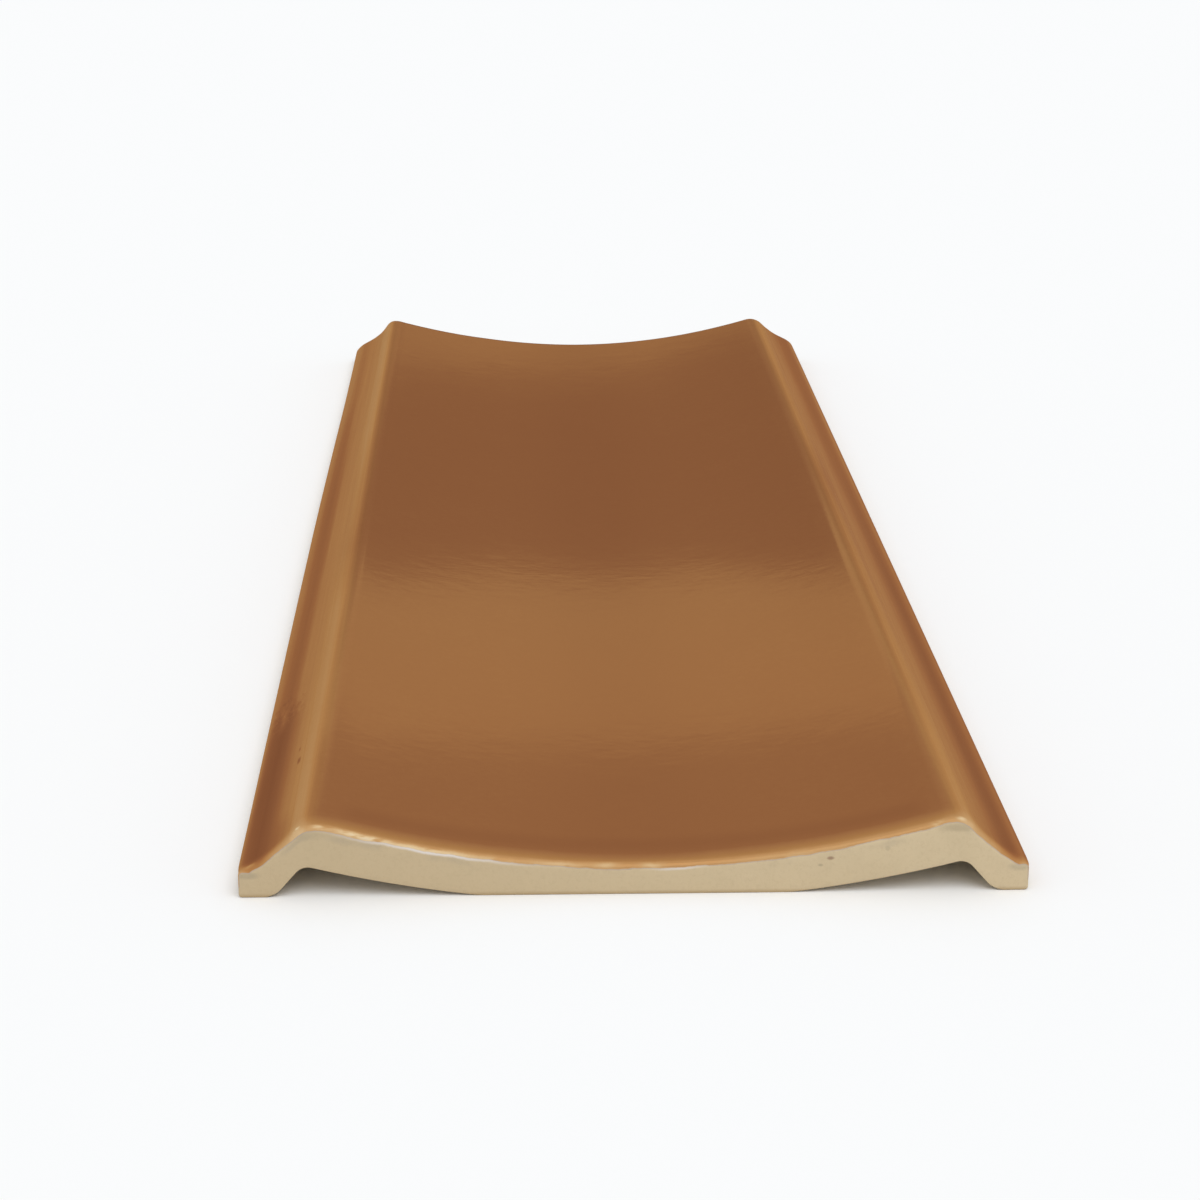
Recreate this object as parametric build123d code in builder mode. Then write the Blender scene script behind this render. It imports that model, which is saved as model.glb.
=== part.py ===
"""A long glazed ceramic tile: a shallow concave panel between two raised ridges.

The tile is one extruded profile.  A dished panel rises to a rounded ridge near each side, drops
down a hollow flank and ends in a low upright edge.  Underneath, a flat bed lies between two hollows
that follow the ridges, and a narrow foot runs along each side.

Units are millimetres.  X is the width, +Y the length and +Z up.  The origin is the middle of the
plane that the tile lies on, and the end seen in front faces -Y.
"""
import os
from math import sqrt

from build123d import *

# Outside sizes
width = 150.0
length = 450.0

# Top of the section
panel_thickness = 6.0  # from the bed to the lowest line of the panel
panel_radius = 207.0  # dish of the panel
ridge_inset = 13.4  # from the side of the tile to the ridge line
ridge_radius = 5.4  # crown of the ridge
flank_radius = 34.0  # hollow slope from the ridge to the side
side_height = 4.9  # upright side, below the flank

# Underside of the section
bed_width = 58.5  # flat strip along the middle
bed_radius = 40.0  # where the bed turns up into the web
web_radius = 245.0  # underside of the panel, from the bed to the hollow
foot_width = 7.2  # flat strip along each side
hollow_inset = 12.7  # from the side of the tile to the top of the hollow
hollow_radius = 3.0  # top of the hollow, below the ridge

# Rounded corners of the section and of the two ends
foot_radius = 5.0  # inner side of the foot
heel_radius = 1.2  # outer side of the foot
brow_radius = 2.8  # top of the upright side
arris_radius = 0.9  # all round each end face

half_width = width / 2
bed_edge = bed_width / 2
foot_edge = half_width - foot_width
ridge_line = half_width - ridge_inset
hollow_line = half_width - hollow_inset


def dish(radius, x):
    """Height at x of an arc that has its lowest point on the middle line of the tile."""
    return radius - sqrt(radius**2 - x**2)


# The panel's arc and the web's arc both turn about the middle line.
crest = (ridge_line, panel_thickness + dish(panel_radius, ridge_line))
hollow = (hollow_line, dish(web_radius, hollow_line) - dish(web_radius, bed_edge))

corners = (
    ((bed_edge, 0), bed_radius),
    (hollow, hollow_radius),
    ((foot_edge, 0), foot_radius),
    ((half_width, 0), heel_radius),
    ((half_width, side_height), brow_radius),
    (crest, ridge_radius),
)

with BuildPart() as tile:
    with BuildSketch(Plane.XZ) as section:
        # Half of the section, from the middle of the bed round to the middle of the panel.
        with BuildLine():
            Line((0, 0), (bed_edge, 0))
            RadiusArc((bed_edge, 0), hollow, -web_radius)
            Line(hollow, (foot_edge, 0))
            Line((foot_edge, 0), (half_width, 0))
            Line((half_width, 0), (half_width, side_height))
            RadiusArc((half_width, side_height), crest, flank_radius)
            RadiusArc(crest, (0, panel_thickness), panel_radius)
            Line((0, panel_thickness), (0, 0))
        make_face()
        for corner, radius in corners:
            fillet(section.vertices().sort_by_distance(corner)[0], radius)
        mirror(about=Plane.YZ)
    extrude(amount=length / 2, both=True)
    ends = tile.faces().filter_by(Axis.Y)
    fillet(ends.edges(), arris_radius)

tile.part.label = "concave_tile"

os.makedirs("parts", exist_ok=True)
export_step(tile.part, "parts/concave_tile.step")
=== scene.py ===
"""A long concave tile of fired clay, glazed brown on top, lying on a pale floor under soft light.

The tile is one fine mesh with the section of the solid: a dished panel between two ridges, hollow
flanks, low sides, and a flat bed between two hollows underneath.  Its glaze thins on the ridges and
the arrises, pools beside them, and stops at the arris of each bare clay end.  On the crests and the
arrises it is thinned further, as a painted highlight and painted glints.

Units are metres.  X is the width, +Y the length and +Z up, as in the solid.
"""
from math import asin, atan2, ceil, copysign, cos, exp, hypot, pi, radians, sin, sqrt, tan

import bpy
from mathutils import Matrix, Vector, noise


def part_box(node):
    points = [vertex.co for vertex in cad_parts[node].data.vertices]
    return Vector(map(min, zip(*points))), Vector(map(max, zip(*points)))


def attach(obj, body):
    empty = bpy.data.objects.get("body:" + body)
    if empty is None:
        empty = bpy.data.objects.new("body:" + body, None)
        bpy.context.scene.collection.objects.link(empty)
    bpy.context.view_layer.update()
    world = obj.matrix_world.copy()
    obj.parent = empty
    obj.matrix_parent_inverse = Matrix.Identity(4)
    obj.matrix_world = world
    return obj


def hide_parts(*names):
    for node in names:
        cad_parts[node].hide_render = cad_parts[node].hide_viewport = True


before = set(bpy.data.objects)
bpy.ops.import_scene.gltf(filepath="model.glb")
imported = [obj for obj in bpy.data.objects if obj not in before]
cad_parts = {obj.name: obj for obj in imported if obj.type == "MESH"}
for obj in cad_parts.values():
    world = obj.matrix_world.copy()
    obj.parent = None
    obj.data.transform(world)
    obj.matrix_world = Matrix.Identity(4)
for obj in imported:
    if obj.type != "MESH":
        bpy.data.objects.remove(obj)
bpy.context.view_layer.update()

NODE = "concave_tile"
MM = 0.001

# Outside sizes, from the solid
lowest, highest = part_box(NODE)
HALF_WIDTH = (highest[0] - lowest[0]) / 2
HALF_LENGTH = (highest[1] - lowest[1]) / 2

# Section, the same as the solid's
PANEL_THICKNESS = 6.0 * MM
PANEL_RADIUS = 207 * MM
RIDGE_LINE = HALF_WIDTH - 13.4 * MM
RIDGE_RADIUS = 5.4 * MM
FLANK_RADIUS = 34 * MM
SIDE_HEIGHT = 4.9 * MM
BED_EDGE = 58.5 * MM / 2
WEB_RADIUS = 245 * MM
FOOT_EDGE = HALF_WIDTH - 7.2 * MM
HOLLOW_LINE = HALF_WIDTH - 12.7 * MM
HOLLOW_RADIUS = 3.0 * MM
FOOT_RADIUS = 5.0 * MM
HEEL_RADIUS = 1.2 * MM
BROW_RADIUS = 2.8 * MM

# At the front end the sides draw in a little and their corners are sharper
FRONT_BROW_RADIUS = 0.7 * MM
FRONT_HEEL_RADIUS = 0.7 * MM
FRONT_DRAW = 0.5 * MM
FRONT_DRAW_WIDTH = 8 * MM
FRONT_REACH = 7 * MM
# Right at that end the right side draws in a little more
RIGHT_DRAW = 0.3 * MM
RIGHT_REACH = 3 * MM
# The left side is not quite straight: (mm from the middle of the tile, mm that it lies further in)
LEFT_DRAW = (
    (-225, 0.18), (-195, 0.18), (-160, 0.10), (-120, 0.06), (-60, 0.0), (20, 0.0), (60, 0.15),
    (100, 0.30), (150, 0.60), (225, 0.65),
)
LEFT_DRAW_SOFTNESS = 20
LEFT_DRAW_WIDTH = 14 * MM

# Arrises of the two ends: broad under the glaze, small where the clay was cut
GLAZED_ARRIS = 1.4 * MM
SIDE_ARRIS = 0.3 * MM
CUT_ARRIS = 0.2 * MM
ARRIS_FADE = 1.5 * MM

# Where the glaze ends: how far round the arris it comes, on top and at the sides, and how low on
# the side.  Each point of the mesh keeps its distance from there, its cover, up to this reach.
GLAZE_TURN = radians(60)
SIDE_TURN = radians(8)
GLAZE_LOW_SHARE = 0.45
COVER_REACH = 12 * MM

# Mesh: steps across the panel, over the ridge and the flank, round the brow and down the side, then
# along the tile round each arris, near each end and between them
COARSE_STEP = 1.1 * MM
FINE_STEPS = 54
FINE_FROM = HALF_WIDTH - 19 * MM
BROW_STEPS = 8
SIDE_ROWS = 8
ARRIS_STEPS = 9
NEAR_STEPS = 8
NEAR_REACH = 11 * MM
LENGTH_STEP = 3.4 * MM

# Unevenness of the fired clay
WARP_HEIGHT = 0.03 * MM
WARP_PITCH = 60 * MM
RIPPLE_HEIGHT = 0.006 * MM
RIPPLE_PITCH = 11 * MM

# The left ridge sags a little towards the front end
SAG_DEPTH = 0.4 * MM
SAG_WIDTH = 3.0 * MM
SAG_LENGTH = 190 * MM

# How much lower the top lies at the back end than in the true section: (mm across, mm)
BACK_DROP = (
    (-75, 0.1), (-72, 0.0), (-70, 0.2), (-68, 0.5), (-66, 0.7), (-65, 0.7), (-64, 0.3), (-63, 0.0),
    (-62, 0.0), (-60, 0.42), (-58, 0.6), (-56, 0.5), (-48, 0.35), (-30, 0.1), (0, 0.2), (30, 0.1),
    (50, 0.0), (63, 0.0), (64.5, -0.1), (66, -0.3), (68, -0.5), (70, -0.9), (72, -1.15),
    (73, -1.1), (74, -0.6), (75, 0.0),
)
BACK_DROP_SOFTNESS = 1.0
BACK_DROP_FROM = -40 * MM
# The left brow is rounder there
ROUND_SHARE = 0.18
ROUND_FROM = HALF_WIDTH - 2.8 * MM


def dish(radius, x):
    """Height at x of an arc that has its lowest point on the middle line of the tile."""
    return radius - sqrt(radius**2 - x**2)


def circles_meet(a, a_radius, b, b_radius, side):
    """Where two circles cross, on the left (+1) or right (-1) of the way from a to b."""
    apart = hypot(b[0] - a[0], b[1] - a[1])
    along = (a_radius**2 - b_radius**2 + apart**2) / (2 * apart)
    off = sqrt(a_radius**2 - along**2) * side
    ux, uz = (b[0] - a[0]) / apart, (b[1] - a[1]) / apart
    return a[0] + ux * along - uz * off, a[1] + uz * along + ux * off


def touch(a, b, share):
    """The point at that share of the way from a to b."""
    return a[0] + (b[0] - a[0]) * share, a[1] + (b[1] - a[1]) * share


# Centres of the arcs on top: the panel's, the flank's and the rounded crest that joins them.
crest = (RIDGE_LINE, PANEL_THICKNESS + dish(PANEL_RADIUS, RIDGE_LINE))
brow = (HALF_WIDTH, SIDE_HEIGHT)
panel_centre = (0, PANEL_THICKNESS + PANEL_RADIUS)
flank_centre = circles_meet(crest, FLANK_RADIUS, brow, FLANK_RADIUS, 1)
ridge_centre = circles_meet(
    panel_centre, PANEL_RADIUS + RIDGE_RADIUS, flank_centre, FLANK_RADIUS + RIDGE_RADIUS, -1
)
panel_end = touch(panel_centre, ridge_centre, PANEL_RADIUS / (PANEL_RADIUS + RIDGE_RADIUS))[0]
ridge_end = touch(flank_centre, ridge_centre, FLANK_RADIUS / (FLANK_RADIUS + RIDGE_RADIUS))[0]


class Corner:
    """The rounded corners of a side: where the brow turns and meets the flank, and the heel."""

    def __init__(self, brow_radius, heel_radius):
        self.brow, self.heel = brow_radius, heel_radius
        self.x = HALF_WIDTH - brow_radius
        apart, across = FLANK_RADIUS + brow_radius, self.x - flank_centre[0]
        self.z = flank_centre[1] - sqrt(apart**2 - across**2)
        self.start = touch(flank_centre, (self.x, self.z), FLANK_RADIUS / apart)[0]


def top_height(x, corner):
    """Height of the glazed top at a distance x from the middle line."""
    if x <= panel_end:
        return panel_centre[1] - sqrt(PANEL_RADIUS**2 - x**2)
    if x <= ridge_end:
        return ridge_centre[1] + sqrt(RIDGE_RADIUS**2 - (x - ridge_centre[0]) ** 2)
    if x <= corner.start:
        return flank_centre[1] - sqrt(FLANK_RADIUS**2 - (x - flank_centre[0]) ** 2)
    return corner.z + sqrt(max(corner.brow**2 - (x - corner.x) ** 2, 0))


# Underneath: the web's arc, the straight side of the hollow and the arcs that round their meetings.
web_base = dish(WEB_RADIUS, BED_EDGE)
peak = (HOLLOW_LINE, dish(WEB_RADIUS, HOLLOW_LINE) - web_base)
web_centre = (0, WEB_RADIUS - web_base)
fall = atan2(peak[1], FOOT_EDGE - peak[0])


def hollow_side(x):
    """Height of the straight side of the hollow."""
    return (FOOT_EDGE - x) * tan(fall)


foot_centre = (FOOT_EDGE + FOOT_RADIUS * (1 - cos(fall)) / sin(fall), FOOT_RADIUS)
foot_start = foot_centre[0] - FOOT_RADIUS * sin(fall)


def peak_gap(x):
    """How much further than the peak's radius a point below the hollow's side lies from the web.

    The point lies just that radius from the side.  Its height comes second.
    """
    z = hollow_side(x) - HOLLOW_RADIUS / cos(fall)
    return hypot(x - web_centre[0], z - web_centre[1]) - WEB_RADIUS - HOLLOW_RADIUS, z


PEAK_STRETCH = 4 * HOLLOW_RADIUS
HALVINGS = 40


def find_peak_centre():
    """Centre of the arc at the top of the hollow, by halving the stretch that holds it."""
    low, high = peak[0] - PEAK_STRETCH, peak[0]
    for _ in range(HALVINGS):
        middle = (low + high) / 2
        gap, z = peak_gap(middle)
        low, high = (middle, high) if gap < 0 else (low, middle)
    return middle, z


peak_centre = find_peak_centre()
peak_start = touch(web_centre, peak_centre, WEB_RADIUS / (WEB_RADIUS + HOLLOW_RADIUS))[0]
peak_end = peak_centre[0] + HOLLOW_RADIUS * sin(fall)


def under_height(x, heel):
    """Height of the underside at a distance x from the middle line, with that heel radius."""
    if x <= BED_EDGE:
        return 0
    if x <= peak_start:
        return web_centre[1] - sqrt(WEB_RADIUS**2 - x**2)
    if x <= peak_end:
        return peak_centre[1] + sqrt(HOLLOW_RADIUS**2 - (x - peak_centre[0]) ** 2)
    if x <= foot_start:
        return hollow_side(x)
    if x <= foot_centre[0]:
        return foot_centre[1] - sqrt(FOOT_RADIUS**2 - (x - foot_centre[0]) ** 2)
    if x <= HALF_WIDTH - heel:
        return 0
    return heel - sqrt(max(heel**2 - (x - HALF_WIDTH + heel) ** 2, 0))


def steps(low, high, count):
    """That many even steps from low, up to but without high."""
    return [low + (high - low) * n / count for n in range(count)]


def cross_levels(corner):
    """Distances from the middle line, closer where the section turns, for the whole width."""
    half = steps(0, FINE_FROM, ceil(FINE_FROM / COARSE_STEP))
    half += steps(FINE_FROM, corner.start, FINE_STEPS)
    start = asin((corner.start - corner.x) / corner.brow)
    half += [corner.x + corner.brow * sin(a) for a in steps(start, pi / 2, BROW_STEPS)]
    half.append(HALF_WIDTH)
    return [-x for x in reversed(half[1:])] + half


def length_levels():
    """Distances from the front end: round the arris, closer near the ends, for the whole length."""
    near = [GLAZED_ARRIS * (1 - cos(a)) for a in steps(0, pi / 2, ARRIS_STEPS)]
    near += steps(GLAZED_ARRIS, NEAR_REACH, NEAR_STEPS)
    middle = 2 * HALF_LENGTH - 2 * NEAR_REACH
    return (
        near
        + steps(NEAR_REACH, NEAR_REACH + middle, ceil(middle / LENGTH_STEP))
        + [2 * HALF_LENGTH - s for s in reversed(near + [NEAR_REACH])]
    )


def blend(low, high, share):
    """A value between low and high."""
    return low + (high - low) * share


def ease(value, low, high):
    """0 at low, 1 at high, with a smooth start and end."""
    share = min(max((value - low) / (high - low), 0), 1)
    return share * share * (3 - 2 * share)


def outline(levels, corner):
    """The section as a closed ring of points, clockwise from the top left.

    Each is (x, z, radius of the arris, how far round it the glaze comes, distance from the glaze's
    edge on the side).
    """
    brow_z, low_edge = corner.z, blend(corner.heel, corner.z, GLAZE_LOW_SHARE)
    side = []
    for z in steps(brow_z, corner.heel, SIDE_ROWS)[1:]:
        side.append((HALF_WIDTH, z, SIDE_ARRIS, SIDE_TURN, z - low_edge))
    top = []
    for x in levels:
        z, fade = top_height(abs(x), corner), ease(abs(x), corner.start - ARRIS_FADE, HALF_WIDTH)
        radius, turn = blend(GLAZED_ARRIS, SIDE_ARRIS, fade), blend(GLAZE_TURN, SIDE_TURN, fade)
        top.append((x, z, radius, turn, z - low_edge + COVER_REACH * ease(z, brow_z, highest[2])))
    under = []
    for x in reversed(levels):
        radius = blend(CUT_ARRIS, SIDE_ARRIS, ease(abs(x), FOOT_EDGE, HALF_WIDTH))
        under.append((x, under_height(abs(x), corner.heel), radius, 0, -COVER_REACH))
    left = [(-x, *rest) for x, *rest in reversed(side)]
    return top + side + under + left


def inward(ring):
    """Unit vectors that point into the clay from each point of the ring."""
    result = []
    for n in range(len(ring)):
        a, b = ring[n - 1], ring[(n + 1) % len(ring)]
        dx, dz = b[0] - a[0], b[1] - a[1]
        length = hypot(dx, dz)
        result.append((dz / length, -dx / length))
    return result


def section(corner):
    """The ring of the section with those corners, each point with its way into the clay."""
    ring = outline(cross_levels(corner), corner)
    return [(*point, *way) for point, way in zip(ring, inward(ring))]


def arris_inset(radius, gap):
    """How far the rounded arris draws in at that distance from the end."""
    if gap >= radius:
        return 0
    return radius - sqrt(radius**2 - (radius - gap) ** 2)


def arris_cover(radius, turn, gap):
    """Distance along the surface to the line round the arris where the glaze stops."""
    if gap >= radius:
        return turn * radius + gap - radius
    return (turn - asin((radius - gap) / radius)) * radius


def between(stops, place):
    """The value at that place on straight lines from stop to stop."""
    for (a, low), (b, high) in zip(stops, stops[1:]):
        if place <= b:
            return blend(low, high, (place - a) / (b - a))
    return stops[-1][1]


def soft_between(stops, place, reach):
    """The same, evened out over that reach on each side."""
    shares = (-1, -0.5, 0, 0.5, 1)
    return sum(between(stops, place + reach * share) for share in shares) / len(shares)


def unevenness(x, y):
    """How far the fired surface lies below its true shape."""
    warp = 0.5 + 0.5 * noise.noise(Vector((x, y, 0)) / WARP_PITCH)
    ripple = 0.5 + 0.5 * noise.noise(Vector((x, y, 1)) / RIPPLE_PITCH)
    across = (x + ridge_centre[0]) / SAG_WIDTH
    sag = exp(-(across**2)) * (1 - ease(y + HALF_LENGTH, 0, SAG_LENGTH))
    back = soft_between(BACK_DROP, x / MM, BACK_DROP_SOFTNESS) * MM
    back *= ease(y, BACK_DROP_FROM, HALF_LENGTH)
    return WARP_HEIGHT * warp + RIPPLE_HEIGHT * ripple + SAG_DEPTH * sag + back


def level(body, front, gap, across):
    """The points of the section at that distance from the front end, and the cover at each."""
    end_gap = min(gap, 2 * HALF_LENGTH - gap)
    y = gap - HALF_LENGTH
    at_front = 1 - ease(gap, 0, FRONT_REACH)
    at_corner = 1 - ease(gap, 0, RIGHT_REACH)
    left_draw = soft_between(LEFT_DRAW, y / MM, LEFT_DRAW_SOFTNESS) * MM
    rounder = ROUND_SHARE * ease(y, BACK_DROP_FROM, HALF_LENGTH)
    points, cover = [], []
    for n, (in_body, at_end) in enumerate(zip(body, front)):
        x, z, radius, turn, side_cover, into_x, into_z = (
            blend(a, b, at_front) for a, b in zip(in_body, at_end)
        )
        inset = arris_inset(radius, end_gap)
        px, pz = x + into_x * inset, z + into_z * inset
        beside = ease(abs(x), HALF_WIDTH - FRONT_DRAW_WIDTH, HALF_WIDTH)
        px -= copysign(FRONT_DRAW * at_front * beside, x)
        if x > 0:
            px -= RIGHT_DRAW * at_corner * beside
        px += left_draw * ease(-x, HALF_WIDTH - LEFT_DRAW_WIDTH, HALF_WIDTH)
        if n < across:
            pz -= unevenness(x, y)
        if z > HEEL_RADIUS and x < -ROUND_FROM:
            pz -= (z - HEEL_RADIUS) * rounder * ease(-x, ROUND_FROM, HALF_WIDTH)
        points.append((px, y, pz))
        here = min(arris_cover(radius, turn, end_gap), side_cover, COVER_REACH)
        cover.append(max(here, -COVER_REACH) / MM)
    return points, cover


def tile_mesh():
    """The whole tile, closed, with the distance to the glaze's edge kept at each point."""
    body = section(Corner(BROW_RADIUS, HEEL_RADIUS))
    front = section(Corner(FRONT_BROW_RADIUS, FRONT_HEEL_RADIUS))
    size = len(body)
    across = (size - 2 * (SIDE_ROWS - 1)) // 2
    points, cover, faces = [], [], []
    gaps = length_levels()
    for gap in gaps:
        level_points, level_cover = level(body, front, gap, across)
        points += level_points
        cover += level_cover
    last = (len(gaps) - 1) * size
    for first in range(0, last, size):
        for n in range(size):
            a, b = first + n, first + (n + 1) % size
            faces.append((a, b, b + size, a + size))
    for first in (0, last):
        close_end(points, cover, faces, first, across, size)
    mesh = bpy.data.meshes.new("tile")
    mesh.from_pydata(points, [], faces)
    mesh.update()
    layer = mesh.attributes.new("cover", "FLOAT", "POINT")
    layer.data.foreach_set("value", cover)
    mesh.shade_smooth()
    return mesh


def close_end(points, cover, faces, first, across, size):
    """Fills the end whose ring starts at first with rows of quads from the top to the underside."""
    rows = SIDE_ROWS
    grid = []
    for n in range(across):
        top, under = first + n, first + across + rows - 1 + (across - 1 - n)
        column = [top]
        for row in range(1, rows):
            if n == across - 1:
                column.append(first + across + row - 1)
            elif n == 0:
                column.append(first + size - row)
            else:
                share = row / rows
                a, b = Vector(points[top]), Vector(points[under])
                points.append(tuple(a.lerp(b, share)))
                cover.append(cover[top] - (b - a).length * share / MM)
                column.append(len(points) - 1)
        column.append(under)
        grid.append(column)
    for left, right in zip(grid, grid[1:]):
        for row in range(rows):
            quad = (left[row], left[row + 1], right[row + 1], right[row])
            faces.append(quad if first == 0 else quad[::-1])


class Graph:
    """A material's nodes, written as a chain of small steps that each return a socket."""

    def __init__(self, name):
        self.material = bpy.data.materials.new(name)
        self.material.use_nodes = True
        self.tree = self.material.node_tree
        self.tree.nodes.clear()

    def node(self, kind, inputs, **settings):
        """A new node with those settings, and each input either linked or set."""
        made = self.tree.nodes.new(kind)
        for key, value in settings.items():
            setattr(made, key, value)
        for socket, value in inputs.items():
            self.put(made.inputs[socket], value)
        return made

    def put(self, socket, value):
        if isinstance(value, bpy.types.NodeSocket):
            self.tree.links.new(value, socket)
        else:
            socket.default_value = value

    def maths(self, operation, a, b=0.0):
        return self.node("ShaderNodeMath", {0: a, 1: b}, operation=operation).outputs[0]

    def add(self, a, b):
        return self.maths("ADD", a, b)

    def times(self, a, b):
        return self.maths("MULTIPLY", a, b)

    def plus(self, value, extra, amount):
        """The value and that amount of the extra one."""
        return self.add(value, self.times(extra, amount))

    def rest(self, share):
        """What is left of 1."""
        return self.maths("SUBTRACT", 1.0, share)

    def rise(self, value, low, high, to_low=0.0, to_high=1.0):
        """One result below low and the other above high, with a smooth step between them."""
        inputs = {
            "Value": value, "From Min": low, "From Max": high, "To Min": to_low, "To Max": to_high,
        }
        made = self.node("ShaderNodeMapRange", inputs, interpolation_type="SMOOTHSTEP")
        return made.outputs["Result"]

    def fall(self, value, low, high, top=1.0):
        """The top result below low and 0 above high."""
        return self.rise(value, low, high, top, 0.0)

    def bell(self, value, middle, reach):
        """1 at the middle, and 0 from that reach on to each side."""
        return self.fall(self.maths("ABSOLUTE", self.maths("SUBTRACT", value, middle)), 0.0, reach)

    def curve(self, value, stops):
        """Straight lines through (value, result) stops, and level beyond them."""
        low, high = stops[0][0], stops[-1][0]
        top = max(result for _, result in stops)
        inputs = {"Value": value, "From Min": low, "From Max": high}
        share = self.node("ShaderNodeMapRange", inputs).outputs["Result"]
        ramp = [((stop - low) / (high - low), (result / top,) * 3) for stop, result in stops]
        return self.times(self.colours(share, ramp), top)

    def colours(self, share, stops):
        """The colour at that share, 0 to 1, of the way along the stops."""
        made = self.node("ShaderNodeValToRGB", {"Fac": share})
        ramp = made.color_ramp
        for n, (position, colour) in enumerate(stops):
            stop = ramp.elements[n] if n < len(ramp.elements) else ramp.elements.new(position)
            stop.position = position
            stop.color = (*colour, 1)
        return made.outputs["Color"]

    def mix(self, share, a, b):
        """Colour a with that share of colour b over it."""
        made = self.node("ShaderNodeMix", {"Factor": share}, data_type="RGBA")
        for socket, colour in ((6, a), (7, b)):
            self.put(made.inputs[socket], (*colour, 1) if isinstance(colour, tuple) else colour)
        return made.outputs[2]

    def scaled(self, vector, scale):
        made = self.node("ShaderNodeVectorMath", {0: vector, 1: scale}, operation="MULTIPLY")
        return made.outputs[0]

    def cloud(self, place, pitch, detail, rough, seed, stretch=None):
        """Noise from about 0 to 1, with bumps that pitch apart, in the units of place."""
        if stretch:
            place = self.scaled(place, stretch)
        inputs = {
            "Vector": place, "W": seed, "Scale": 1 / pitch, "Detail": detail, "Roughness": rough,
        }
        return self.node("ShaderNodeTexNoise", inputs, noise_dimensions="4D").outputs["Fac"]

    def swing(self, place, cloud):
        """The same, as a swing about 0."""
        return self.maths("SUBTRACT", self.cloud(place, *cloud), 0.5)

    def finish(self, shader):
        self.node("ShaderNodeOutputMaterial", {"Surface": shader})
        return self.material


def rgb(red, green, blue):
    """Linear colour for one written as on a screen, 0 to 255."""
    return tuple(
        c / 12.92 if c <= 0.04045 else ((c + 0.055) / 1.055) ** 2.4
        for c in (red / 255, green / 255, blue / 255)
    )


# The material works in mm.  Its clouds are (pitch, detail, roughness, seed), and some of them have
# the scale of the place in X, Y and Z after that, which stretches them.
END = HALF_LENGTH / MM

# Glaze colours, from thickness 0, where it is thinnest, to 1
GLAZE_COLOURS = (
    (0.00, rgb(216, 200, 178)),
    (0.07, rgb(218, 190, 148)),
    (0.20, rgb(195, 154, 108)),
    (0.35, rgb(182, 130, 83)),
    (0.50, rgb(158, 103, 66)),
    (0.65, rgb(146, 92, 60)),
    (1.00, rgb(122, 72, 48)),
)
# The same on the ridges and beside the edge, where it is less glossy
RIDGE_COLOURS = (
    (0.00, rgb(216, 198, 168)),
    (0.07, rgb(217, 190, 148)),
    (0.20, rgb(192, 151, 103)),
    (0.35, rgb(177, 127, 77)),
    (0.50, rgb(156, 102, 63)),
    (0.65, rgb(143, 91, 58)),
    (1.00, rgb(118, 70, 46)),
)
# The thickness at which the first set of colours takes over, inside this distance from the middle
GLOSSY_FROM = (0.32, 0.47)
PANEL_END = (59.0, 61.5)

# Share of metal in the glaze, which colours its reflections, for thin and for thick glaze
LUSTRE_THICKNESS = (0.15, 0.48)
LUSTRE_SHARE = (0.02, 0.3)
LUSTRE_TINT = (0.70, 0.78, 0.53, 1)
# What is left of it on the ridges, and how rough they are: (mm from the middle line, value)
RIDGE_LUSTRE = (
    (54, 1.0), (58.5, 1.0), (60.3, 1.0), (61.7, 0.36), (64, 0.28), (73, 0.26), (74.2, 0.10),
    (75, 0.10),
)
RIDGE_ROUGHNESS = ((54, 0.06), (59, 0.07), (61, 0.18), (62.2, 0.30), (66, 0.26), (75, 0.26))
CLAY_ROUGHNESS = 0.85

# How thick the glaze lies across a ridge: (mm from the middle line, thickness).  It lies thin on
# the crest, and the dip there is made deeper as a painted highlight along it
LEFT_RIDGE_GLAZE_AND_HIGHLIGHT = (
    (54, 0.50), (58, 0.50), (59.4, 0.49), (60.4, 0.465), (61.2, 0.42), (62, 0.33), (62.8, 0.29),
    (63.4, 0.295), (64.2, 0.315), (65.2, 0.355), (66.5, 0.39), (68, 0.40), (69, 0.41), (70, 0.43),
    (71, 0.44), (72, 0.40), (72.8, 0.37), (73.5, 0.36), (74.2, 0.37), (75, 0.38),
)
RIGHT_RIDGE_GLAZE_AND_HIGHLIGHT = (
    (54, 0.50), (58, 0.49), (59.4, 0.46), (60.4, 0.43), (61.2, 0.38), (62, 0.33), (62.8, 0.32),
    (63.6, 0.355), (64.6, 0.40), (66, 0.43), (67.2, 0.46), (68.4, 0.49), (69.4, 0.55), (70.4, 0.57),
    (71.4, 0.56), (72.4, 0.50), (73.2, 0.42), (73.7, 0.43), (74.2, 0.52), (75, 0.60),
)
# How much thicker it lies along a crest and a foot, which on the crest dims the painted highlight:
# (mm from the middle of the tile, more)
LEFT_CREST = (
    (-225, 0.0), (-190, 0.02), (-90, 0.02), (-40, 0.10), (20, 0.06), (80, 0.02), (225, 0.0),
)
RIGHT_CREST = (
    (-225, 0.0), (-180, 0.01), (-130, 0.05), (-60, 0.08), (20, 0.13), (80, 0.07), (225, 0.03),
)
LEFT_FOOT = (
    (-225, 0.19), (-162, 0.19), (-90, 0.15), (20, 0.15), (80, 0.11), (150, 0.03), (225, -0.04),
)
RIGHT_FOOT = ((-225, 0.12), (-130, 0.12), (-40, 0.07), (60, 0.01), (225, -0.03))
# How much thinner it lies along the inner side of the left ridge: (the same, less)
LEFT_RIM_RISE = (
    (-225, 0.0), (-190, 0.0), (-170, 0.055), (-80, 0.06), (-55, 0.03), (-30, 0.0), (225, 0.0),
)
# Where these three run: (mm from the middle line, reach)
CREST = (62.8, 4.0)
FOOT = (71.6, 3.6)
LEFT_RIM = (60.7, 1.7)
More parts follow.
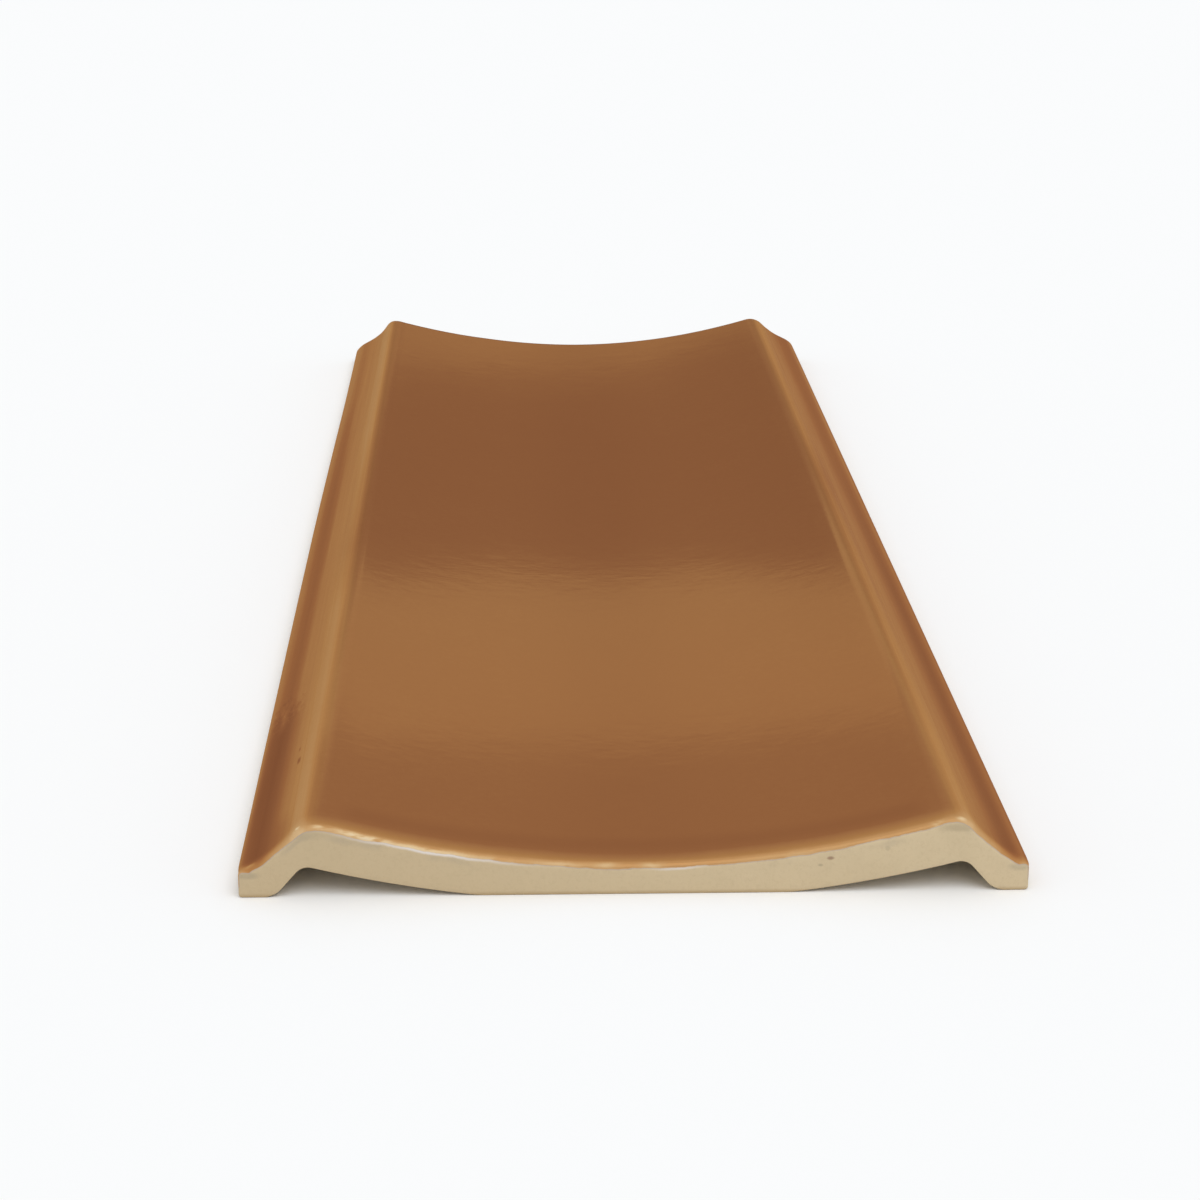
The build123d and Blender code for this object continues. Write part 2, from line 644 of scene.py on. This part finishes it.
# A dark strip along the left foot, from the front end to about this line, where it ends raggedly
STRIP_MORE = 0.18
STRIP_END = (-153, -133)
STRIP_INNER_SIDE = (66.0, 69.9)
STRIP_OUTER_SIDE = (73.1, 74.5)
RAGGED_LENGTH = 44
RAGGED_CLOUD = (1.3, 3, 0.7, 16.0, (1.6, 0.5, 1))

# Small places where it lies thicker, or thinner: (x, y, half width, half length, more)
GLAZE_MARKS = (
    (-65.7, -182, 0.5, 2.4, 0.30), (-66.0, -175, 0.35, 1.6, 0.14), (-67.0, -218, 3.6, 13, 0.08),
    (70.5, -219, 4.0, 8, 0.03), (-71.3, -147, 1.4, 12, -0.22), (-73.0, -192, 1.3, 30, 0.055),
)
# Along the middle of the panel it lies thicker too, out to this distance
MIDDLE_REACH = 24
MIDDLE_MORE = 0.05
# Just behind the front end it pools on the panel: (y, reach), and where that stops across
POOL_LINE = (9.5 - END, 5.5)
POOL_END = (52.0, 57.0)
POOL_MORE = 0.06
# Broad and fine unevenness of its thickness, and lines drawn out along the ridges
MOTTLE_CLOUD = (17.0, 3, 0.55, 2.0)
MOTTLE = 0.018
FINE_CLOUD = (1.6, 2, 0.6, 3.0)
FINE = 0.03
DRAWN_CLOUD = (1.1, 2, 0.6, 17.0, (1, 0.012, 1))
DRAWN_FROM = (59.5, 61.5)
DRAWN = 0.10

# How it thins towards its edge: (mm from the edge, share of the thickness)
EDGE_TAPER = (
    (-0.6, 0.42), (0, 0.47), (0.4, 0.51), (0.9, 0.565), (1.5, 0.63), (2.9, 0.75), (4.4, 0.86),
    (6, 0.97), (8, 1.0),
)
# On the flanks it thins nearer its edge, as if it were that many times as far away
FLANK_TIMES = 1.9
FLANK_FROM = (63.0, 67.0)
# At the back end it hardly thins, as if it were that much further away, but not on the low sides
BACK_MORE = 4.5
BACK_FROM = (190, 210)
BACK_SIDES = (72.5, 74.0)

# The line where it stops swings a little everywhere
EDGE_CLOUD = (4.0, 3, 0.6, 1.0)
EDGE_SWING = 0.9
EDGE_SOFTNESS = 0.08
# How much further than its mean line it comes down the front: (mm across, mm)
EDGE_WAVE = (
    (-75, 0.3), (-72, 0.2), (-66, -0.1), (-60, 0.2), (-54, 0.25), (-46, 0.0), (-35, -0.2),
    (-21, -0.5), (-14, -0.1), (-6, 0.3), (5, 0.25), (13, -0.35), (22, 0.15), (32, 0.2), (42, 0.0),
    (51, -0.15), (57, -0.6), (62, -0.1), (68, -0.25), (72, -0.35), (73.4, -0.5), (74.4, 0.2),
    (75, 0.5),
)
# Where it lies thin on the arris it looks cream, and there it is thinned further in streaks as
# painted glints,
# the highlights of the arris: (mm across, half width, mm from the edge, strength)
PAINTED_EDGE_GLINTS = (
    (-72.2, 2.0, 1.1, 0.22), (-63.3, 0.9, 1.6, 0.15), (-59.0, 2.8, 0.8, 0.16),
    (-52, 7.0, 0.5, 0.14), (-40, 26, 0.2, 0.18), (-14, 9.0, 0.4, 0.13), (-5.5, 4.0, 0.5, 0.14),
    (3.0, 4.0, 0.3, 0.14), (30, 20, 0.2, 0.06), (56.3, 2.6, 0.4, 0.14), (61.0, 1.5, 1.0, 0.16),
)
GLINT_REACH = 1.1
GLINT_STREAK_CLOUD = (1.5, 2, 0.6, 4.0, (0.25, 1, 1))
GLINT_STREAK_RANGE = (0.32, 0.52)

# Small relief: (cloud, height)
GLAZE_RELIEF = (
    ((2.6, 1, 0.4, 5.0), 0.003),
    ((9.0, 1, 0.4, 6.0), 0.010),
    ((2.6, 3, 0.6, 9.0, (0.5, 1, 1)), 0.0095),
)
CLAY_RELIEF = (
    ((0.5, 3, 0.6, 7.0), 0.05),
    ((2.4, 2, 0.5, 8.0), 0.10),
)
# The glaze stands that much above the clay, and rises over this distance round its edge
LIP_HEIGHT = 0.05
LIP_RANGE = (-0.15, 0.5)

# Bare clay, at the left and the right of the tile
CLAY_COLOURS = (rgb(194, 174, 141), rgb(205, 186, 153))
CLAY_RANGE = (-75, 70)
# Clouds in it: (cloud, where it starts and is full, strength, colour)
CLAY_CLOUDS = (
    ((6.0, 3, 0.6, 11.0), (0.35, 0.75), 0.25, rgb(188, 170, 138)),
    ((0.7, 2, 0.7, 12.0), (0.45, 0.75), 0.15, rgb(168, 147, 116)),
)
# Bands on it beside the glaze: (mm from the edge, reach, strength, colour).  The first shows where
# its cloud is full, and the last at these places: (mm across, reach, share).
SMUDGE = (-0.9, 1.3, 0.40, rgb(150, 141, 128))
SMUDGE_CLOUD = (11.0, 2, 0.5, 13.0)
SMUDGE_RANGE = (0.52, 0.72)
EDGE_LINE = (-0.05, 0.24, 0.6, rgb(168, 154, 148))
PALE_LINE = (-0.2, 0.5, 0.85, rgb(220, 213, 208))
PALE_PLACES = ((-38, 24, 1.0), (8, 7, 0.7))
# Darker lower edge of the cut ends: how high it comes, and how near the end it starts and is full
LOW_EDGE_HEIGHT = (0.15, 0.9)
LOW_EDGE_LENGTH = (END - 1.5, END - 0.2)
LOW_EDGE_STRENGTH = 0.6
LOW_EDGE_COLOUR = rgb(168, 143, 106)
# Small marks on the front end: (x, z, half width, half height, colour, strength), with rough edges
CLAY_MARKS = (
    (36.6, 6.9, 0.75, 0.40, rgb(142, 112, 92), 0.75),
    (34.7, 5.5, 0.55, 0.30, rgb(160, 146, 122), 0.60),
    (47.3, 8.8, 0.6, 0.6, rgb(172, 157, 130), 0.45),
    (-72.6, 4.4, 2.40, 0.80, rgb(158, 147, 126), 0.45),
    (72.4, 4.8, 2.40, 0.90, rgb(164, 152, 130), 0.45),
    (61.0, 12.9, 4.50, 1.00, rgb(170, 154, 126), 0.60),
    (-62.0, 12.6, 5.50, 1.10, rgb(174, 158, 130), 0.45),
    (-1.2, 5.1, 0.80, 0.25, rgb(172, 160, 140), 0.60),
)
MARK_CLOUD = (0.5, 2, 0.6, 14.0)
MARK_ROUGH = 0.5
MARK_RANGE = (0.6, 1.5)


def tile_material():
    """Brown glaze over bare clay, divided along the line where the glaze stops."""
    g = Graph("glazed_clay")
    place = g.node("ShaderNodeTexCoord", {}).outputs["Object"]
    place = g.scaled(place, (1 / MM, 1 / MM, 1 / MM))
    x, y, z = g.node("ShaderNodeSeparateXYZ", {0: place}).outputs
    away = g.maths("ABSOLUTE", x)

    edge = g.node("ShaderNodeAttribute", {}, attribute_name="cover").outputs["Fac"]
    cover = g.plus(edge, g.swing(place, EDGE_CLOUD), EDGE_SWING)
    reach = g.add(cover, g.curve(x, EDGE_WAVE))
    glazed = g.rise(reach, -EDGE_SOFTNESS, EDGE_SOFTNESS)
    bare = g.rest(glazed)

    thick = full_thickness(g, place, x, y, away)
    thick = thinned(g, place, x, y, away, cover, thick)
    glossy = g.times(g.fall(away, *PANEL_END), g.rise(thick, *GLOSSY_FROM))
    glaze = g.mix(glossy, g.colours(thick, RIDGE_COLOURS), g.colours(thick, GLAZE_COLOURS))
    lustre = g.times(g.curve(away, RIDGE_LUSTRE), g.rise(thick, *LUSTRE_THICKNESS, *LUSTRE_SHARE))
    gloss = g.curve(away, RIDGE_ROUGHNESS)

    lip = g.times(g.rise(reach, *LIP_RANGE), LIP_HEIGHT)
    height = g.add(g.times(relief(g, place, GLAZE_RELIEF), glazed), lip)
    height = g.add(height, g.times(relief(g, place, CLAY_RELIEF), bare))
    normal = g.node("ShaderNodeBump", {"Height": height, "Distance": MM, "Strength": 1.0})
    shader = g.node(
        "ShaderNodeBsdfPrincipled",
        {
            "Base Color": g.mix(glazed, clay_colour(g, place, x, y, z, reach), glaze),
            "Metallic": g.times(glazed, lustre),
            "Roughness": g.plus(g.times(glazed, gloss), bare, CLAY_ROUGHNESS),
            "Specular IOR Level": 0.0,
            "Specular Tint": LUSTRE_TINT,
            "Normal": normal.outputs["Normal"],
        },
    )
    return g.finish(shader.outputs[0])


def relief(g, place, parts):
    """The sum of the parts of a small relief."""
    height = 0.0
    for cloud, part_height in parts:
        height = g.plus(height, g.cloud(place, *cloud), part_height)
    return height


def full_thickness(g, place, x, y, away):
    """Thickness of the glaze away from its edge, over the whole tile."""
    thick = ridge_thickness(g, place, x, y, away)
    thick = g.plus(thick, g.bell(x, 0, MIDDLE_REACH), MIDDLE_MORE)
    thick = g.plus(thick, g.swing(place, MOTTLE_CLOUD), MOTTLE)
    thick = g.plus(thick, g.swing(place, FINE_CLOUD), FINE)
    drawn = g.times(g.swing(place, DRAWN_CLOUD), g.rise(away, *DRAWN_FROM))
    thick = g.plus(thick, drawn, DRAWN)
    for mark_x, mark_y, half_width, half_length, more in GLAZE_MARKS:
        mark = g.times(g.bell(x, mark_x, half_width), g.bell(y, mark_y, half_length))
        thick = g.plus(thick, mark, more)
    pool = g.times(g.bell(y, *POOL_LINE), g.fall(away, *POOL_END))
    return g.plus(thick, pool, POOL_MORE)


def ridge_thickness(g, place, x, y, away):
    """Thickness of the glaze across the whole width, with the painted highlight along each crest,
    and how it drifts along the ridges.
    """
    crest, foot = g.bell(away, *CREST), g.bell(away, *FOOT)
    ragged = g.plus(y, g.swing(place, RAGGED_CLOUD), RAGGED_LENGTH)
    sides = []
    # The ridge tables hold a painted highlight along each crest, as glaze made thinner than it lies
    for ridge, along_crest, along_foot in (
        (LEFT_RIDGE_GLAZE_AND_HIGHLIGHT, LEFT_CREST, LEFT_FOOT),
        (RIGHT_RIDGE_GLAZE_AND_HIGHLIGHT, RIGHT_CREST, RIGHT_FOOT),
    ):
        side = g.plus(g.curve(away, ridge), crest, g.curve(y, along_crest))
        sides.append(g.plus(side, foot, g.curve(ragged, along_foot)))
    left, right = sides
    rim = g.times(g.bell(away, *LEFT_RIM), g.curve(y, LEFT_RIM_RISE))
    strip = g.times(g.rise(away, *STRIP_INNER_SIDE), g.fall(away, *STRIP_OUTER_SIDE))
    left = g.plus(g.maths("SUBTRACT", left, rim), strip, g.fall(ragged, *STRIP_END, STRIP_MORE))
    on_right = g.maths("GREATER_THAN", x, 0.0)
    both = g.node("ShaderNodeMix", {"Factor": on_right, 2: left, 3: right})
    return both.outputs[0]


def thinned(g, place, x, y, away, cover, thick):
    """The thickness as it runs out towards the glaze's edge, with cream streaks of thin glaze on
    the arris that are thinned further as painted glints.
    """
    at_back = g.times(g.rise(y, *BACK_FROM), g.fall(away, *BACK_SIDES, BACK_MORE))
    from_edge = g.times(cover, g.rise(away, *FLANK_FROM, 1.0, FLANK_TIMES))
    thick = g.times(thick, g.curve(g.add(from_edge, at_back), EDGE_TAPER))
    streaks = g.rise(g.cloud(place, *GLINT_STREAK_CLOUD), *GLINT_STREAK_RANGE)
    # Painted glints: the glaze is thinned in streaks on the arris so that it shows cream, like a
    # highlight
    for middle, half_width, height, strength in PAINTED_EDGE_GLINTS:
        light = g.times(g.bell(x, middle, half_width), g.bell(cover, height, GLINT_REACH))
        thick = g.plus(thick, g.times(light, streaks), -strength)
    return thick


def clay_colour(g, place, x, y, z, cover):
    """Bare fired clay: smooth pale buff, darker at the lower edge, smudged grey below the glaze."""
    buff = g.mix(g.rise(x, *CLAY_RANGE), *CLAY_COLOURS)
    for cloud, cloud_range, strength, colour in CLAY_CLOUDS:
        shown = g.rise(g.cloud(place, *cloud), *cloud_range)
        buff = g.mix(g.times(shown, strength), buff, colour)
    smudged = g.rise(g.cloud(place, *SMUDGE_CLOUD), *SMUDGE_RANGE)
    buff = band(g, cover, SMUDGE, smudged, buff)

    at_end = g.rise(g.maths("ABSOLUTE", y), *LOW_EDGE_LENGTH)
    low = g.times(g.fall(z, *LOW_EDGE_HEIGHT), at_end)
    buff = g.mix(g.times(low, LOW_EDGE_STRENGTH), buff, LOW_EDGE_COLOUR)

    on_front = g.maths("LESS_THAN", y, 0.0)
    for mark_x, mark_z, half_width, half_height, colour, strength in CLAY_MARKS:
        across = g.times(g.add(x, -mark_x), 1 / half_width)
        up = g.times(g.add(z, -mark_z), 1 / half_height)
        away = g.maths("SQRT", g.add(g.times(across, across), g.times(up, up)))
        away = g.plus(away, g.cloud(place, *MARK_CLOUD), MARK_ROUGH)
        spot = g.fall(away, *MARK_RANGE, strength)
        buff = g.mix(g.times(spot, on_front), buff, colour)

    buff = band(g, cover, EDGE_LINE, 1.0, buff)
    places = [g.times(g.bell(x, middle, half), share) for middle, half, share in PALE_PLACES]
    return band(g, cover, PALE_LINE, g.maths("MAXIMUM", *places), buff)


def band(g, cover, look, share, under):
    """The colour under it with that share of a band beside the glaze over it."""
    middle, reach, strength, colour = look
    shown = g.times(g.bell(cover, middle, reach), share)
    return g.mix(g.times(shown, strength), under, colour)


def make_tile():
    """The visible tile, which stands for the solid."""
    piece = bpy.data.objects.new("tile", tile_mesh())
    bpy.context.scene.collection.objects.link(piece)
    piece.data.materials.append(tile_material())
    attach(piece, "root")
    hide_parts(NODE)


# Floor, a hair below the tile
FLOOR_HALF = 5.0
FLOOR_DROP = 0.02 * MM
FLOOR_COLOUR = (0.94, 0.95, 0.957, 1)


def make_floor():
    """A plain pale floor that the tile lies on."""
    signs = ((-1, -1), (1, -1), (1, 1), (-1, 1))
    corners = [(FLOOR_HALF * a, FLOOR_HALF * b, -FLOOR_DROP) for a, b in signs]
    mesh = bpy.data.meshes.new("floor")
    mesh.from_pydata(corners, [], [(0, 1, 2, 3)])
    floor = bpy.data.objects.new("floor", mesh)
    bpy.context.scene.collection.objects.link(floor)
    g = Graph("floor")
    inputs = {"Base Color": FLOOR_COLOUR, "Roughness": 1.0, "Specular IOR Level": 0.0}
    mesh.materials.append(g.finish(g.node("ShaderNodeBsdfPrincipled", inputs).outputs[0]))


# Cards round the studio, which only the gloss shows.  Each has its lower and its upper edge, both
# as (bearing, height) in degrees from the middle of the tile, with 0 straight ahead, and a colour.
FLAT = ((-180, 0), (180, 0))
WALL_FOOT = ((-180, 10.5), (180, 10.5))
WALL_TOP = (
    (-180, 11.8), (-12, 11.8), (-2, 12.68), (0, 13.0), (1.6, 12.85), (3.1, 12.42), (4.8, 11.5),
    (12, 10.7), (180, 10.7),
)
BAND_FOOT = (
    (-180, 18.8), (-12, 18.8), (-2.5, 18.45), (0, 17.65), (2.1, 17.45), (4.1, 16.75), (6.3, 16.42),
    (12, 15.5), (180, 15.5),
)
BAND_TOP = (
    (-180, 22), (-12, 22), (-3, 21.75), (0, 21.45), (2.6, 21.05), (5.2, 20.4), (7.7, 19.7),
    (12, 19), (180, 19),
)
HIGH_TOP = ((-180, 34), (180, 34))
CARDS = (
    ("low_card", FLAT, WALL_FOOT, (0.05, 0.05, 0.05, 1)),
    ("wall", WALL_FOOT, WALL_TOP, (0.80, 0.60, 0.42, 1)),
    ("middle_card", WALL_TOP, BAND_FOOT, (0.03, 0.03, 0.03, 1)),
    ("high_card", BAND_TOP, HIGH_TOP, (0.40, 0.40, 0.40, 1)),
)
CARD_DISTANCE = 12.0
CARD_SIDES = 360


def make_card(name, low, high, colour):
    """A ring of card that stands round the tile, out of the camera's sight."""
    points, faces = [], []
    for n in range(CARD_SIDES):
        bearing = 360 * n / CARD_SIDES - 180
        turn = radians(bearing)
        for stops in (low, high):
            z = CARD_DISTANCE * tan(radians(between(stops, bearing)))
            points.append((CARD_DISTANCE * sin(turn), CARD_DISTANCE * cos(turn), z))
        after = (n + 1) % CARD_SIDES
        faces.append((2 * n, 2 * after, 2 * after + 1, 2 * n + 1))
    mesh = bpy.data.meshes.new(name)
    mesh.from_pydata(points, [], faces)
    card = bpy.data.objects.new(name, mesh)
    bpy.context.scene.collection.objects.link(card)
    card.visible_camera = False
    card.visible_diffuse = False
    card.visible_shadow = False
    g = Graph(name)
    glow = g.node("ShaderNodeEmission", {"Color": colour})
    mesh.materials.append(g.finish(glow.outputs[0]))


# Light: the surround lights the tile with this strength, but the camera and the gloss see it white
AMBIENT = 0.70
SUN_STRENGTH = 1.15
SUN_SPREAD = radians(55)
SUN_HEIGHT = radians(62)
SUN_SIDE = radians(20)


def make_light():
    """A white surround and one broad soft lamp above the front end."""
    world = bpy.data.worlds.new("studio")
    world.use_nodes = True
    world.cycles.sampling_method = "NONE"
    tree = world.node_tree
    tree.nodes.clear()
    path = tree.nodes.new("ShaderNodeLightPath")
    seen = path.outputs["Is Camera Ray"]
    for kind in ("Is Glossy Ray", "Is Transmission Ray"):
        either = tree.nodes.new("ShaderNodeMath")
        either.operation = "MAXIMUM"
        tree.links.new(seen, either.inputs[0])
        tree.links.new(path.outputs[kind], either.inputs[1])
        seen = either.outputs[0]
    strength = tree.nodes.new("ShaderNodeMapRange")
    strength.inputs["To Min"].default_value = AMBIENT
    tree.links.new(seen, strength.inputs["Value"])
    white = tree.nodes.new("ShaderNodeBackground")
    white.inputs["Color"].default_value = (1, 1, 1, 1)
    tree.links.new(strength.outputs["Result"], white.inputs["Strength"])
    out = tree.nodes.new("ShaderNodeOutputWorld")
    tree.links.new(white.outputs[0], out.inputs["Surface"])
    bpy.context.scene.world = world

    lamp = bpy.data.lights.new("key", "SUN")
    lamp.energy = SUN_STRENGTH
    lamp.angle = SUN_SPREAD
    key = bpy.data.objects.new("key", lamp)
    level_part = cos(SUN_HEIGHT)
    away = Vector((sin(SUN_SIDE) * level_part, -cos(SUN_SIDE) * level_part, sin(SUN_HEIGHT)))
    key.rotation_euler = away.to_track_quat("Z", "Y").to_euler()
    bpy.context.scene.collection.objects.link(key)


# Camera, where the outlines of the tile agree with the photo
CAMERA_PLACE = (-24.0 * MM, -704.4 * MM, 211.7 * MM)
CAMERA_YAW = radians(2.040)
CAMERA_PITCH = radians(17.761)
CAMERA_ROLL = radians(0.245)
CAMERA_SENSOR = 36.0
CAMERA_LENS = 83.256


def make_camera():
    """The photographer's view: from in front of one end, a little above."""
    data = bpy.data.cameras.new("camera")
    data.sensor_width = CAMERA_SENSOR
    data.lens = CAMERA_LENS
    camera = bpy.data.objects.new("camera", data)
    level_part = cos(CAMERA_PITCH)
    ahead = (sin(CAMERA_YAW) * level_part, cos(CAMERA_YAW) * level_part, -sin(CAMERA_PITCH))
    ahead = Vector(ahead)
    right = Vector((cos(CAMERA_YAW), -sin(CAMERA_YAW), 0))
    up = right.cross(ahead)
    rolled = cos(CAMERA_ROLL) * right + sin(CAMERA_ROLL) * up
    upright = cos(CAMERA_ROLL) * up - sin(CAMERA_ROLL) * right
    turn = Matrix((rolled, upright, -ahead)).transposed()
    camera.matrix_world = Matrix.Translation(CAMERA_PLACE) @ turn.to_4x4()
    bpy.context.scene.collection.objects.link(camera)
    bpy.context.scene.camera = camera


make_tile()
make_floor()
for card in CARDS:
    make_card(*card)
make_light()
make_camera()
bpy.context.scene.view_settings.view_transform = "Standard"
